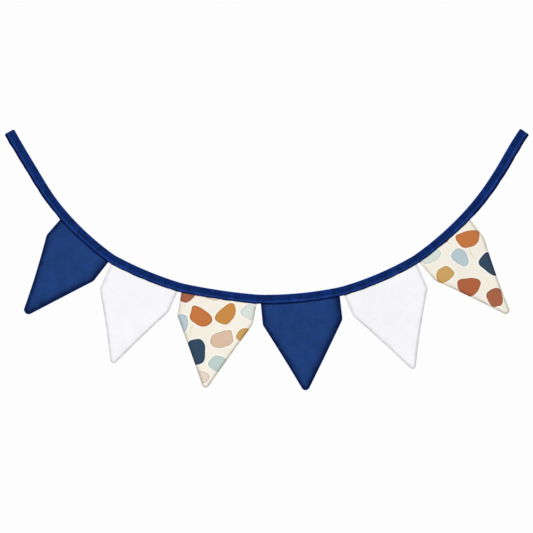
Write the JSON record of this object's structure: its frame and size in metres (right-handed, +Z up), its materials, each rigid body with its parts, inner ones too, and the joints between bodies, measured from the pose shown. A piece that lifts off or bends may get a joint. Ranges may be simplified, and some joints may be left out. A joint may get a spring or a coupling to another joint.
{
  "type": "fabric bunting",
  "caption": "Hanging fabric bunting: double-layer cloth pennants with rounded tips, held in a folded binding tape that sags between two free ends.",
  "frame": {"origin": "midway between the two top corners of the tape's ends, on the plane of the tape's flat back", "axes": "+X to the viewer's right along the hanging line, +Z up, and the front faces -Y, so that +Y points into the wall"},
  "size_m": [0.9426, 0.0087, 0.47],
  "materials": {
    "navy_tape": "folded cotton binding, matt",
    "blue_cotton": "royal navy cotton, matt",
    "white_cotton": "white cotton, matt",
    "print_cotton": "cream cotton with a pebble print, matt"
  },
  "bodies": {
    "root": {"binding_tape": "navy_tape", "flag_1": "blue_cotton", "flag_2": "white_cotton", "flag_3": "print_cotton", "flag_4": "blue_cotton", "flag_5": "white_cotton", "flag_6": "print_cotton"}
  },
  "joints": []
}
